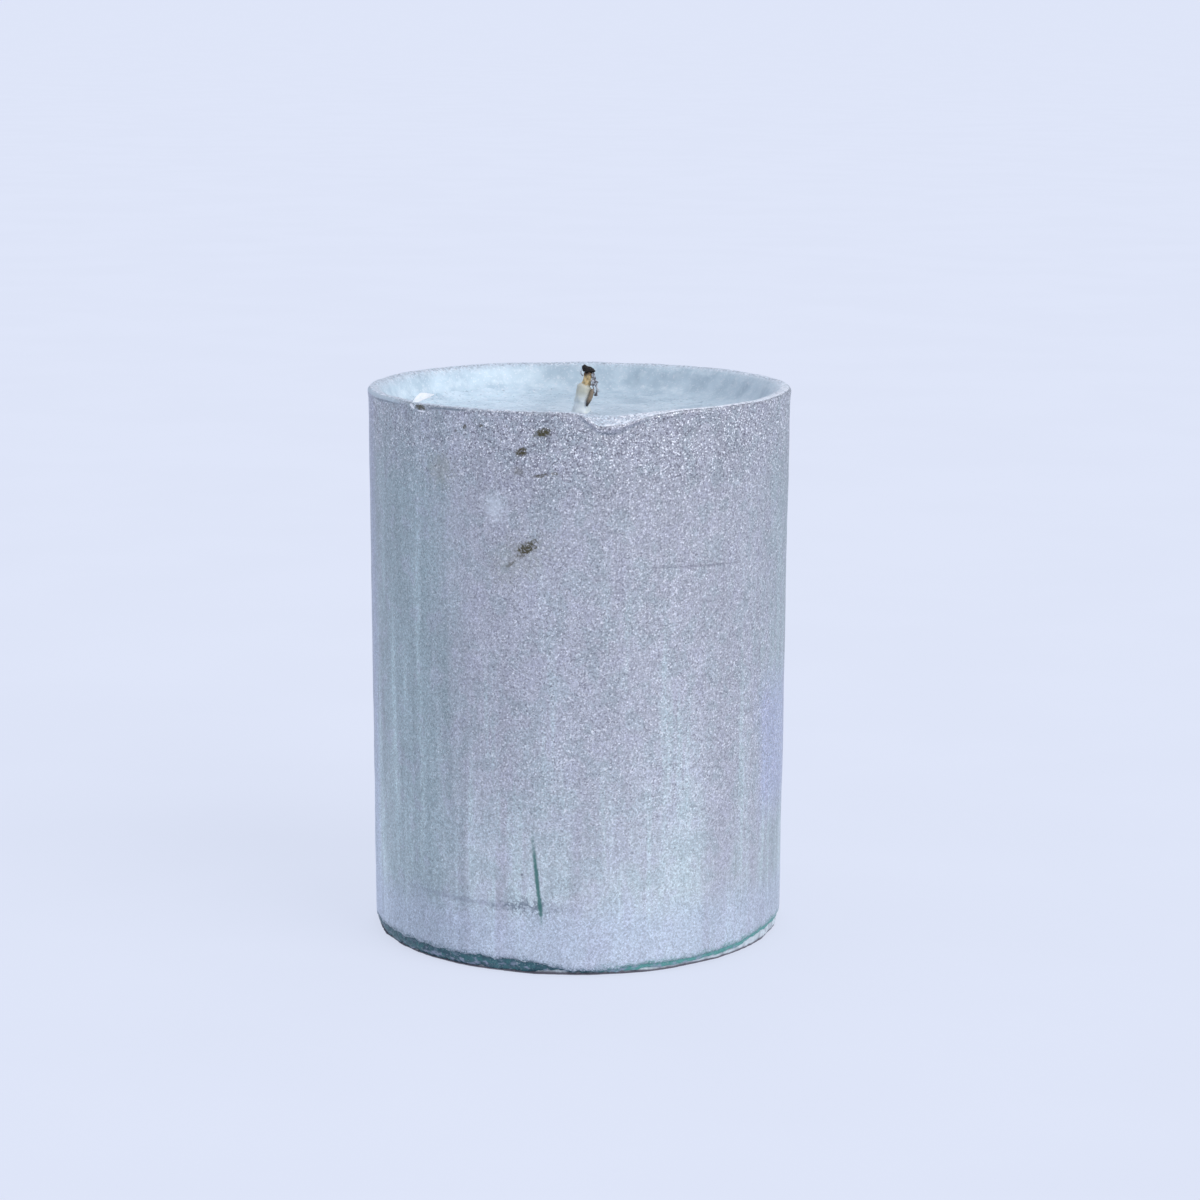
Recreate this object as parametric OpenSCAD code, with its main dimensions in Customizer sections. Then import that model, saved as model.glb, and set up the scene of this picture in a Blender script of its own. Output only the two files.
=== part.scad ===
// Pillar candle: a cast wax core with a melted well, a green overdip layer,
// a silver coat, a braided wick held by a metal sustainer, and a burnt wick end.
// Units are millimetres. The base stands on z = 0 and the axis is +Z.

/* [Body] */
// Outside diameter at the rim
rim_d = 76; // [74:0.5:84]
// Outside diameter at the base
base_d = 74.6; // [72:0.2:76]
// Height of the rim above the base
rim_h = 99.5; // [80:0.5:130]
// Thickness of the green overdip layer
overdip_t = 0.8; // [0.5:0.1:1.2]
// Thickness of the silver coat
coat_t = 0.3; // [0.2:0.05:0.5]
// Height of the bevel that bares the core at the base edge
base_bevel_h = 1.2; // [0.8:0.1:2]

/* [Well] */
// Depth of the well's floor below the rim
well_depth = 5.2; // [4.8:0.2:8]
// Width of the wax rim around the well
rim_w = 3.8; // [3.2:0.2:5]
// Thickness of the set melt pool that makes the well's floor
pool_t = 1.4; // [1:0.1:2]

/* [Wick] */
// Diameter of the braided wick
wick_d = 2.4; // [2:0.1:3]
// How far the wick stands off the candle's axis, towards +X
wick_off = 0.6; // [0:0.1:1.5]
// Lean of the wick's free end towards +X, in degrees
wick_lean = 11; // [2:1:15]
// Length of the unburnt free end, measured from its bend
wick_free = 6.2; // [5:0.2:10]

/* [Sustainer] */
// Diameter of the sustainer's disc
tab_d = 20; // [15:1:26]
// Sheet thickness of the sustainer
tab_t = 0.3; // [0.2:0.05:0.5]
// Height of the crimped neck above the disc
neck_h = 7; // [3:0.5:10]

/* [Hidden] */
$fn = 96;

lip_t = 0.6;             // height of the melted lip that lies over the layers
lip_round = 0.5;         // radius of the lip's outer corner
inner_round = 2.2;       // radius of the lip's inner corner
wall_slope = 0.6;        // how far the well's wall leans in, rim to floor
meniscus_h = 0.4;        // rise of the set pool at the wall
dish_h = 0.3;            // fall of the pool from wall to middle
collar_h = 1.9;          // rise of the pool around the wick
collar_t = 0.9;          // spread of that collar at its foot
overdip_edge_h = 1.0;    // height of the bare green edge above the bevel
coat_edge_h = 0.4;       // height of the coat's feathered lower edge
recess_gap = 0.4;        // room round the sustainer's disc
tab_recess = 0.2;        // how far the disc lies above the base
neck_wall = 0.8;         // wall of the neck, crimped solid on the wick
free_r_ratio = 0.85;     // the dry free end is thinner than the waxed wick
bend_in = 0.6;           // how far the free end starts inside the waxed wick
char_r = 1.3;            // radius of the burnt head
char_h = 1.9;            // height of the burnt head

wick_r = wick_d / 2;
core_in = overdip_t + coat_t;
lip_z = rim_h - lip_t;
pool_z = rim_h - well_depth;
core_floor_z = pool_z - pool_t;
wall_r = rim_d / 2 - rim_w - wall_slope;
fillet_r = pool_t + 0.8;
pool_turn = -asin((fillet_r - pool_t - meniscus_h) / fillet_r);
bend_z = pool_z - dish_h + collar_h + 0.1;
disc_top_z = tab_recess + tab_t;
neck_r = wick_r + neck_wall;

// Outside radius of the finished candle at height z
function outer_r(z) = (base_d + (rim_d - base_d) * z / rim_h) / 2;

// Radius at height z, a given depth inside the finished surface
function layer_r(z, depth) = outer_r(z) - depth;

// Points along an arc about [cx, cy]
function arc(cx, cy, r, from, to, steps = 6) =
    [for (i = [0:steps]) let (a = from + (to - from) * i / steps) [cx + r * cos(a), cy + r * sin(a)]];

// The part of the well's fillet that the set pool covers
function pool_fillet() =
    arc(wall_r - fillet_r, core_floor_z + fillet_r, fillet_r, -90, pool_turn);

// The rest of the fillet, up to the wall
function open_fillet() =
    arc(wall_r - fillet_r, core_floor_z + fillet_r, fillet_r, pool_turn, 0);

// Half section of one layer round the core, from one depth to another
function layer_profile(outer_depth, inner_depth, low_z, edge_h) = [
    [layer_r(low_z, inner_depth), low_z],
    [layer_r(low_z + edge_h, outer_depth), low_z + edge_h],
    [layer_r(lip_z, outer_depth), lip_z],
    [layer_r(lip_z, inner_depth), lip_z]
];

// Half section of the core: bevelled base, tapered side, lip, well and floor
function core_profile() = concat(
    [[0, 0], [layer_r(0, core_in) - 1, 0]],
    [[layer_r(base_bevel_h, core_in), base_bevel_h], [layer_r(lip_z, core_in), lip_z]],
    [[outer_r(lip_z), lip_z]],
    arc(outer_r(lip_z) - lip_round, rim_h - lip_round, lip_round, 0, 90),
    arc(rim_d / 2 - rim_w + inner_round, rim_h - inner_round, inner_round, 90, 180),
    [for (i = [6:-1:0]) open_fillet()[i]],
    [for (i = [5:-1:0]) pool_fillet()[i]],
    [[0, core_floor_z]]
);

// Half section of the set melt pool
function pool_profile() = concat(
    [[0, core_floor_z]],
    pool_fillet(),
    arc(wall_r - 1.6, pool_z + 1.6, 1.6, -30, -90, 4),
    [[wall_r * 0.6, pool_z - dish_h * 0.6], [wall_r * 0.3, pool_z - dish_h], [0, pool_z - dish_h]]
);

// A length of round strand along an arc in the XZ plane, about [x, z]
module bow(x, z, bow_r, from, to, strand_r, y = 0) {
    translate([x, y, z])
        rotate([90, 0, 0])
            rotate([0, 0, from])
                rotate_extrude(angle = to - from)
                    translate([bow_r, 0]) circle(r = strand_r);
}

// Places its children on the wick's leaning free end, from inside the waxed wick
module along_free_end() {
    translate([wick_off, 0, bend_z - bend_in])
        rotate([0, wick_lean, 0])
            children();
}

module wax_core() {
    color([0.72, 0.82, 0.84])
        difference() {
            rotate_extrude() polygon(core_profile());
            translate([wick_off, 0, -1]) cylinder(r = wick_r, h = rim_h);
            translate([wick_off, 0, -1]) cylinder(r = neck_r, h = 1 + disc_top_z + neck_h);
            translate([wick_off, 0, -1]) cylinder(r = tab_d / 2 + recess_gap, h = 1 + disc_top_z);
        }
}

module green_overdip() {
    color([0.12, 0.32, 0.32])
        rotate_extrude()
            polygon(layer_profile(coat_t, core_in, base_bevel_h, overdip_edge_h));
}

module silver_coat() {
    color([0.66, 0.69, 0.75])
        rotate_extrude()
            polygon(layer_profile(0, coat_t, base_bevel_h + overdip_edge_h, coat_edge_h));
}

module wick_collar() {
    foot = pool_z - dish_h;
    rotate_extrude()
        polygon([
            [0, foot - 0.2], [wick_r + collar_t, foot - 0.2], [wick_r + collar_t, foot],
            [wick_r + collar_t * 0.5, foot + collar_h * 0.25],
            [wick_r + collar_t * 0.25, foot + collar_h * 0.6], [wick_r, foot + collar_h], [0, foot + collar_h]
        ]);
}

module pool_wax() {
    color([0.68, 0.8, 0.84])
        difference() {
            union() {
                rotate_extrude() polygon(pool_profile());
                translate([wick_off, 0, 0]) wick_collar();
            }
            translate([wick_off, 0, 0]) cylinder(r = wick_r, h = rim_h);
        }
}

// Loose ends of the braid that peeled off as the wick burnt
module loose_ends() {
    bow(1.7, 99.2, 1.85, -55, 80, 0.22);
    bow(0.75, 102.05, 0.85, 130, 290, 0.18);
    bow(-0.3, 98.3, 2.6, -45, 28, 0.3, -0.65);
}

module wick() {
    color([0.76, 0.68, 0.5]) {
        translate([wick_off, 0, tab_recess]) cylinder(r = wick_r, h = bend_z - tab_recess);
        along_free_end() cylinder(r = wick_r * free_r_ratio, h = wick_free);
        loose_ends();
    }
}

// The burnt head: a mushroom of char that sits on the wick's end
module wick_char() {
    color([0.05, 0.04, 0.04])
        along_free_end()
            translate([0, 0, wick_free])
                rotate_extrude()
                    polygon([
                        [0, 0], [char_r * 0.8, 0], [char_r, char_h * 0.25], [char_r * 0.95, char_h * 0.55],
                        [char_r * 0.6, char_h * 0.9], [char_r * 0.2, char_h], [0, char_h]
                    ]);
}

// The neck, with its crimp groove, above the disc
module sustainer_profile() {
    groove = 0.3;
    polygon([
        [wick_r, tab_recess], [tab_d / 2, tab_recess], [tab_d / 2, disc_top_z], [neck_r, disc_top_z],
        [neck_r, disc_top_z + neck_h * 0.45], [neck_r - groove, disc_top_z + neck_h * 0.5],
        [neck_r - groove, disc_top_z + neck_h * 0.6], [neck_r, disc_top_z + neck_h * 0.65],
        [neck_r, disc_top_z + neck_h], [wick_r, disc_top_z + neck_h]
    ]);
}

module wick_sustainer() {
    color([0.7, 0.7, 0.7])
        translate([wick_off, 0, 0])
            rotate_extrude() sustainer_profile();
}

// A chip of the coat that stands up from the rim, curled inwards
module coat_flake() {
    flake_turn = 46;   // angle round from the front, towards -X
    flake_w = 3.6;
    curl_r = 2.2;
    curl = 50;
    color([0.86, 0.9, 0.94])
        rotate([0, 0, -90 - flake_turn])
            translate([rim_d / 2 - lip_round - curl_r - 0.5, flake_w / 2, rim_h])
                rotate([90, 0, 0])
                    rotate_extrude(angle = curl)
                        polygon([[curl_r, 0], [curl_r + coat_t, 0], [curl_r + coat_t, flake_w], [curl_r, flake_w]]);
}

wax_core();
green_overdip();
silver_coat();
pool_wax();
wick();
wick_char();
wick_sustainer();
coat_flake();
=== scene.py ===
"""A burnt pillar candle: worn silver coat over a green overdip and a pale core, set well, charred wick.

Shapes are worked out in millimetres, in the frame's own axes, and scaled by MM into metres.
Theta is the angle round the candle in degrees, 0 at the front (-Y) and positive towards +X.
"""
import math

import bpy
import numpy as np
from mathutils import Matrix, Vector, noise


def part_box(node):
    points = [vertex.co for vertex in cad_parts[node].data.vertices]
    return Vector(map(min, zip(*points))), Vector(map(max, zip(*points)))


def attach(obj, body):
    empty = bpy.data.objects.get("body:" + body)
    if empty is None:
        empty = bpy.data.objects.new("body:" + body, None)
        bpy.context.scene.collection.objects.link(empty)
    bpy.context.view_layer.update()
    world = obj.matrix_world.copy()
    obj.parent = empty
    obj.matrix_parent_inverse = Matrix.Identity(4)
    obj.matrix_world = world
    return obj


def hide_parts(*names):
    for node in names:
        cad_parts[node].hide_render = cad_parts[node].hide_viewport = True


MM = 0.001

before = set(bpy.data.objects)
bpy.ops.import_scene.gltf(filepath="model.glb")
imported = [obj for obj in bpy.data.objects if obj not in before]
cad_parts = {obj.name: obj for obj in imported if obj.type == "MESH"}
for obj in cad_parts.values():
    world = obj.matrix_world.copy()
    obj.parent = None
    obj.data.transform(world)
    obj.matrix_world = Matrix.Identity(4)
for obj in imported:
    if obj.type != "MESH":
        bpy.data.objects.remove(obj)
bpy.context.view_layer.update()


def cad_box(node):
    """The CAD node's box in millimetres."""
    low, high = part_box(node)
    return np.array(low) / MM, np.array(high) / MM


# ---------------------------------------------------------------- sizes, from the CAD
CORE_LOW, CORE_HIGH = cad_box("wax_core")
POOL_LOW, POOL_HIGH = cad_box("pool_wax")
CHAR_LOW, CHAR_HIGH = cad_box("wick_char")
TAB_LOW, TAB_HIGH = cad_box("wick_sustainer")
FLAKE_LOW, FLAKE_HIGH = cad_box("coat_flake")

RIM_R = CORE_HIGH[0]
RIM_Z = CORE_HIGH[2]
BASE_R = RIM_R - 0.7
WICK_X = (TAB_LOW[0] + TAB_HIGH[0]) / 2
WICK_R = 1.2
POOL_Z = POOL_LOW[2] + 1.4
WELL_R = POOL_HIGH[0]
TAB_R = (TAB_HIGH[0] - TAB_LOW[0]) / 2
COAT_T = 0.25           # how far the green layer lies below the silver
CORE_T = 1.0            # how far the core lies below the silver
COLS = 720              # columns round the candle
SAG_THETA = 6.5         # where the rim has sunk most
SAG_DEPTH = 2.35
RIDGE_THETA = 7         # where the crease under the sagging lip is lowest
RIDGE_DROP = 3.7
FLAKE_THETA = math.degrees(math.atan2(FLAKE_LOW[0] + FLAKE_HIGH[0], -FLAKE_LOW[1] - FLAKE_HIGH[1]))


# ---------------------------------------------------------------- shape functions
def outer_r(z):
    """Radius of the plain outside at height z: the side draws in towards the base."""
    return BASE_R + (RIM_R - BASE_R) * z / RIM_Z


def angles(cols):
    return np.linspace(-180, 180, cols, endpoint=False)


def bump(x, centre, width):
    """A smooth hill of height 1."""
    return np.exp(-((x - centre) / width) ** 2)


def step(x, low, high):
    """0 below low, 1 above high, smooth between."""
    t = np.clip((x - low) / (high - low), 0, 1)
    return t * t * (3 - 2 * t)


def span(x, low, high, soft):
    """1 between low and high, with soft ends."""
    return step(x, low - soft, low + soft) * (1 - step(x, high - soft, high + soft))


def ring_noise(theta, frequency, seed, octaves=3):
    """Noise that joins up round the candle, from about -1 to 1."""
    t = np.radians(np.atleast_1d(theta))
    return np.array([
        noise.fractal(Vector((math.cos(a) * frequency, math.sin(a) * frequency, seed)), 0.7, 2, octaves)
        for a in t
    ])


def point_noise(points, size, seed, octaves=3):
    """Noise at each point of an array (..., 3), with features about size mm across."""
    flat = points.reshape(-1, 3)
    shift = Vector((seed * 7.3, seed * 3.1, seed * 5.7))
    values = [noise.fractal(Vector(p) / size + shift, 0.6, 2, octaves) for p in flat.tolist()]
    return np.array(values).reshape(points.shape[:-1])


def on_side(theta, r, z):
    """Points at angle theta, radius r, height z, as an array (..., 3)."""
    t = np.radians(theta)
    return np.stack(np.broadcast_arrays(r * np.sin(t), -r * np.cos(t), z), axis=-1)


def sag(theta):
    """How far the softened rim has sunk at its outer edge: a spout at the front."""
    left = bump(theta, SAG_THETA, 4.6)
    right = bump(theta, SAG_THETA, 12.5)
    return SAG_DEPTH * np.where(theta < SAG_THETA, left, right)


def rim_waves(theta):
    """How far the melted rim rises and falls, least at the front."""
    calm = 1 - 0.75 * bump(theta, 0, 62)
    return calm * 0.24 * ring_noise(theta, 2.0, 3.1) + 0.05 * ring_noise(theta, 8, 8.4)


def ridge_z(theta):
    """Height of the crease where the sagging lip meets the side."""
    left = bump(theta, RIDGE_THETA, 5.2)
    right = bump(theta, RIDGE_THETA, 10.5)
    return RIM_Z - 0.1 - RIDGE_DROP * np.where(theta < RIDGE_THETA, left, right)


def side_swell(theta, z):
    """How far the side stands out from the plain cone."""
    ridge = ridge_z(theta)
    lip = 0.42 * bump(theta, 8, 12) * step(z, ridge - 0.15, ridge + 0.75)
    crease = -0.2 * bump(theta, RIDGE_THETA, 11) * bump(z, ridge - 0.25, 0.4)
    ring = 0.1 * span(theta, -50, -4, 5) * step(z, 12.2, 13.1) * (1 - step(z, 16, 26))
    collar = 0.12 * step(z, RIM_Z - 2.2, RIM_Z - 0.8)
    return lip + crease + ring + collar


def coat_edge(theta):
    """Height of the silver coat's worn lower edge."""
    worn_left = 1.55 * span(theta, -84, -7, 7)
    worn_right = 0.75 * span(theta, 12, 84, 9) + 1.5 * step(theta, 30, 72) * (1 - step(theta, 84, 110))
    worn_back = 1.2 * span(np.abs(theta), 118, 156, 12)
    ragged = 0.38 * ring_noise(theta, 12, 2.7) + 0.14 * ring_noise(theta, 45, 5.2)
    ragged = ragged * (1 - 0.65 * span(theta, 14, 100, 10))
    return np.clip(1.0 + worn_left + worn_right + worn_back + ragged, 0.55, 4.6)


def green_edge(theta):
    """Height of the green overdip's lower edge, where the pale core starts."""
    band = 0.42 + 1.7 * span(theta, -84, -9, 6) + 0.38 * span(theta, 10, 86, 7)
    band = band + 1.1 * span(np.abs(theta), 118, 156, 12)
    ragged = 0.22 * ring_noise(theta, 16, 9.9)
    return np.clip(coat_edge(theta) - band + ragged, 0.38, 3.6)


def base_r(theta):
    """Radius of the chipped base edge."""
    chips = 0.24 * ring_noise(theta, 7, 6.3)
    return BASE_R - 0.75 - 0.5 * span(theta, 28, 80, 8) + np.clip(chips, -0.6, 0.3)


# ---------------------------------------------------------------- mesh builders
def make_piece(name, points, faces, slot, *nodes):
    """A mesh piece in millimetres that rides on the candle and stands for CAD nodes."""
    mesh = bpy.data.meshes.new(name)
    mesh.from_pydata((np.asarray(points) * MM).tolist(), [], faces)
    mesh.polygons.foreach_set("use_smooth", [True] * len(mesh.polygons))
    mesh.validate()
    piece = bpy.data.objects.new(name, mesh)
    bpy.context.scene.collection.objects.link(piece)
    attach(piece, "root")
    if nodes:
        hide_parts(*nodes)
    return piece


def grid_faces(rows, cols, start=0, closed=True):
    """Quads between rows of cols points, outward when rows run upwards."""
    last = cols if closed else cols - 1
    return [
        (start + i * cols + j, start + i * cols + (j + 1) % cols,
         start + (i + 1) * cols + (j + 1) % cols, start + (i + 1) * cols + j)
        for i in range(rows - 1) for j in range(last)
    ]


def revolve_piece(name, grid, slot, *nodes):
    """A piece from an array (rows, cols, 3) that closes round the candle."""
    rows, cols = grid.shape[:2]
    return make_piece(name, grid.reshape(-1, 3), grid_faces(rows, cols), slot, *nodes)


def tube(path, radii, sides):
    """Points and faces of a tube with capped ends along a path, in millimetres."""
    path = [Vector(p) for p in path]
    points, faces = [], []
    side = Vector((0, 1, 0))
    for i, p in enumerate(path):
        along = (path[min(i + 1, len(path) - 1)] - path[max(i - 1, 0)]).normalized()
        side = (side - along * side.dot(along)).normalized()
        other = along.cross(side)
        for k in range(sides):
            a = 2 * math.pi * k / sides
            points.append(p + (side * math.cos(a) + other * math.sin(a)) * radii[i])
    faces = grid_faces(len(path), sides)
    faces.append(tuple(reversed(range(sides))))
    top = (len(path) - 1) * sides
    faces.append(tuple(range(top, top + sides)))
    return points, faces


def join_parts(parts):
    """One list of points and faces from several."""
    points, faces = [], []
    for part_points, part_faces in parts:
        start = len(points)
        points += [tuple(p) for p in part_points]
        faces += [tuple(i + start for i in f) for f in part_faces]
    return points, faces


# ---------------------------------------------------------------- the candle's body
def silver_coat():
    """The metallic coat, with a ragged worn edge below and the sag above."""
    theta = angles(COLS)
    low = coat_edge(theta)
    high = RIM_Z - 0.1 - sag(theta) + rim_waves(theta)
    levels = np.concatenate([
        np.linspace(0, 0.04, 10), np.linspace(0.04, 0.9, 80)[1:], np.linspace(0.9, 0.99, 40)[1:],
        np.linspace(0.99, 1, 9)[1:]
    ])
    z = low + (high - low) * levels[:, None]
    r = outer_r(z) + side_swell(theta, z) - 0.45 * step(z, high - 0.6, high + 0.15) ** 2
    grid = on_side(theta, r, z)
    swell = 0.10 * point_noise(grid, 18, 1.0, 2) + 0.035 * point_noise(grid, 4, 2.0, 2)
    feather = 0.12 * bump(z - low, 0, 0.35)
    grid = on_side(theta, r + swell - feather, z)
    under = on_side(theta, outer_r(low) - COAT_T - 0.05, low + 0.12)[None]
    edge = on_side(theta, outer_r(low) - COAT_T * 0.6, low + 0.01)[None]
    top = on_side(theta, outer_r(high) - 1.0, high - 0.15)[None]
    return revolve_piece("silver_coat_skin", np.concatenate([under, edge, grid, top]),
                         "metallic_coat", "silver_coat")


def green_layer():
    """The green overdip: seen only where the coat has worn off at the base."""
    theta = angles(COLS)
    low = green_edge(theta)
    near = np.maximum(coat_edge(theta) + 0.6, low + 0.5)
    high = RIM_Z - 1.6 - sag(theta)
    rows = [low + (near - low) * t for t in np.linspace(0, 1, 12)]
    rows += [near + (high - near) * t for t in np.linspace(0, 1, 24)[1:]]
    z = np.array(rows)
    taper = (0.55 - 0.4 * span(theta, 10, 86, 7)) * (1 - step(z, low, low + 1.1))
    grid = on_side(theta, outer_r(z) - COAT_T - taper, z)
    rough = 0.09 * point_noise(grid[:14], 1.1, 5.0, 3)
    r = outer_r(z) - COAT_T - taper + np.minimum(side_swell(theta, z), 0)
    r[:14] += np.clip(rough, -0.15, 0.12)
    r[14:] -= 0.2
    under = on_side(theta, outer_r(low) - CORE_T - 0.3, low + 0.1)[None]
    return revolve_piece("green_overdip_skin", np.concatenate([under, on_side(theta, r, z)]),
                         "green_wax", "green_overdip")


def lip_profile(t):
    """How deep inside the outer surface, and how far below the rim, the lip runs at t from 0 to 1."""
    marks = [0, 0.08, 0.14, 0.22, 0.34, 0.48, 0.60, 0.72, 0.84, 0.94, 1]
    inward = [0.46, 0.36, 0.28, 0.38, 0.58, 0.80, 0.94, 1.06, 1.24, 1.55, 2.1]
    down = [1.5, 0.8, 0.3, 0.02, 0.0, 0.25, 1.1, 2.5, 3.9, 4.8, 5.3]
    return np.interp(t, marks, inward), np.interp(t, marks, down)


def smooth_profile(rows):
    """The lip's profile sampled at rows points and rounded off."""
    t = np.linspace(0, 1, rows)
    inward, down = lip_profile(t)
    kernel = np.array([1, 4, 6, 4, 1]) / 16
    for _ in range(2):
        for line in (inward, down):
            line[2:-2] = np.convolve(line, kernel, "valid")
    return inward, down


def finer(rows, count):
    """Rows of points filled in to count rows."""
    at = np.linspace(0, len(rows) - 1, count)
    low = np.minimum(at.astype(int), len(rows) - 2)
    part = (at - low)[:, None, None]
    return rows[low] * (1 - part) + rows[low + 1] * part


def core_top(theta):
    """Rows over the melted lip and down the well's wall."""
    inward, down = smooth_profile(54)
    width = 3.3 + 0.45 * np.sin(np.radians(theta)) + 0.25 * ring_noise(theta, 1.8, 4.4)
    scale = np.where(inward > 0.44, (inward - 0.44) / 0.72, 0)[:, None]
    depth = np.where(inward < 0.45, inward, 0.45)[:, None] + scale * (width + 0.3)
    sunk = sag(theta) * (1 - 0.9 * step(depth, 0.1, 3.0))
    waves = rim_waves(theta) * (1 - step(down, 2.5, 5)[:, None])
    z = RIM_Z + waves - sunk - down[:, None] * (1 - 0.12 * sunk)
    r = outer_r(RIM_Z) - depth + side_swell(theta, z) * (1 - step(depth, 0, 1.6))
    grid = on_side(theta, r, z)
    fade = step(down, 0.1, 1.2)[:, None]
    lumps = 0.06 * point_noise(grid, 7, 7.0, 2) + 0.09 * fade * point_noise(grid, 10, 8.0, 2)
    return on_side(theta, r - lumps, z + lumps * 0.5)


def core_body():
    """The core's rough underside, bevelled base edge and hidden side, then the lip and the well."""
    theta = angles(COLS)
    radii = [TAB_R + 0.4, TAB_R + 1.2, 16, 22, 28, 32, 34.5]
    under = np.array([on_side(theta, r, 0.0) for r in radii])
    under[..., 2] = 0.05 + 0.05 * np.abs(point_noise(under, 2.5, 3.0, 3))
    recess = on_side(theta, TAB_R + 0.35, 0.5)[None]
    centre = on_side(theta, WICK_R + 0.5, 0.5)[None]
    foot = base_r(theta)
    low = green_edge(theta)
    rounded = np.array([
        on_side(theta, foot - 0.35, 0.0), on_side(theta, foot - 0.05, 0.12), on_side(theta, foot + 0.1, 0.3),
        on_side(theta, (foot + outer_r(low) - COAT_T - 0.55) / 2 + 0.12, np.maximum(low * 0.55, 0.36)),
        on_side(theta, outer_r(low) - COAT_T - 0.62, np.maximum(low * 0.9, 0.42)),
        on_side(theta, outer_r(low) - CORE_T - 0.2, np.maximum(low, 0.5) + 0.4),
    ])
    rounded = finer(rounded, 22)
    crumble = 0.0032 * point_noise(rounded[2:19], 1.5, 11.0, 3)
    rounded[2:19, :, :2] *= 1 + crumble[..., None]
    hidden = np.array([on_side(theta, outer_r(z) - CORE_T - 0.2, z) for z in (10, 50, 92)])
    seat = on_side(theta, outer_r(RIM_Z) - CORE_T - 0.1, RIM_Z - 2.2 - sag(theta))[None]
    grid = np.concatenate([centre, recess, under, rounded, hidden, seat, core_top(theta)])
    return revolve_piece("core_body", grid, "core_wax", "wax_core")


def pool_height(points):
    """Height of the set pool's surface at each point."""
    r = np.hypot(points[..., 0], points[..., 1])
    from_wick = np.hypot(points[..., 0] - WICK_X, points[..., 1])
    dish = -0.3 * (1 - step(r, 0, WELL_R))
    wall = 1.3 * step(r, WELL_R - 4.2, WELL_R + 1.2) ** 1.5
    mound = 1.75 * np.exp(-np.clip(from_wick - WICK_R * 0.85, 0, None) / 0.62)
    ripples = 0.10 * point_noise(points, 7, 21.0, 3) + 0.05 * point_noise(points, 1.8, 22.0, 2)
    drips = 0.16 * np.clip(point_noise(points, 3.4, 23.0, 2) - 0.1, 0, None)
    return POOL_Z + dish + wall + mound + ripples * (1 - 0.6 * np.exp(-from_wick / 2)) + drips


def melt_pool():
    """The set melt pool, with its rise at the wall and round the wick."""
    theta = angles(240)
    radii = np.concatenate([np.linspace(0.05, 5, 34), np.linspace(5, WELL_R - 3, 46)[1:],
                            np.linspace(WELL_R - 3, WELL_R + 0.5, 16)[1:]])
    flat = on_side(theta, radii[:, None], 0.0)
    flat[..., 0] += WICK_X * (1 - step(radii, 2, 12))[:, None]
    flat[..., 2] = pool_height(flat)
    return revolve_piece("melt_pool", flat[::-1], "pool_wax", "pool_wax")


# ---------------------------------------------------------------- the wick
def wick_axis(z):
    """Centre line of the wick at height z: straight in the wax, then leaning to +X."""
    over = max(0.0, z - (POOL_Z + 1.4))
    return Vector((WICK_X + 0.075 * over + 0.019 * over * over, 0.05 * math.sin(z * 1.1), z))


def stem_taper(z):
    """The dry stem above the wax is thinner than the waxed wick."""
    t = min(max((z - POOL_Z - 3.2) / 2.6, 0), 1)
    return 1 - 0.27 * t * t * (3 - 2 * t)


def braid_strand(index, hand, low, high):
    """One strand of the round braid, over and under the strands of the other hand."""
    pitch, mean_r, weave = 7.0, 0.68, 0.13
    path, radii = [], []
    steps = int((high - low) / 0.11)
    for i in range(steps + 1):
        z = low + (high - low) * i / steps
        turn = hand * 2 * math.pi * z / pitch + math.pi * index / 2
        r = mean_r + hand * weave * math.cos(8 * math.pi * z / pitch)
        swell = 1 + 0.10 * noise.noise(Vector((index * 3.1, hand * 2.2, z * 1.3)))
        thin = stem_taper(z)
        path.append(wick_axis(z) + Vector((math.cos(turn), math.sin(turn), 0)) * r * thin)
        radii.append(0.40 * swell * thin)
    return tube(path, radii, 8)


def wick_braid():
    """The braided cotton wick from the tab to the char."""
    top = CHAR_LOW[2] + 0.5
    parts = [braid_strand(k, hand, 90, top) for k in range(4) for hand in (1, -1)]
    core = [wick_axis(z) for z in np.linspace(0.4, top - 0.1, 60)]
    parts.append(tube(core, [0.6 * stem_taper(p.z) for p in core], 10))
    return make_piece("wick_braid", *join_parts(parts), "cotton", "wick")


def wax_sleeve():
    """Wax that climbed the lower stem and set: a soft irregular coat."""
    rows = 40
    path = [wick_axis(z) + Vector((-0.2, 0, 0)) for z in np.linspace(POOL_Z + 0.3, POOL_Z + 5.5, rows)]
    uneven = [0.08 * noise.noise(Vector((i * 0.3, 4, 2))) for i in range(rows)]
    radii = [1.28 + 0.62 * math.exp(-i / 9) + uneven[i] for i in range(rows)]
    radii[-4:] = [1.14, 1.04, 0.88, 0.62]
    points, faces = tube(path, radii, 30)
    points = [p + (p - wick_axis(p.z)).normalized() * 0.2 * noise.noise(p * 0.9) for p in points]
    return make_piece("wick_wax_sleeve", points, faces, "pool_wax")


def lump(centre, size, seed, rings=22, sides=30, rough=0.3):
    """A rough closed lump: an ellipsoid pushed about by noise."""
    points, faces = [], []
    for i in range(rings + 1):
        up = math.pi * (i / rings - 0.5)
        for k in range(sides):
            a = 2 * math.pi * k / sides
            n = Vector((math.cos(up) * math.cos(a), math.cos(up) * math.sin(a), math.sin(up)))
            d = 1 + rough * noise.fractal(n * 1.7 + Vector((seed, 0, 0)), 0.6, 2.2, 4)
            points.append(Vector(centre) + Vector((n.x * size[0], n.y * size[1], n.z * size[2])) * d)
    return points, grid_faces(rings + 1, sides)


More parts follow.
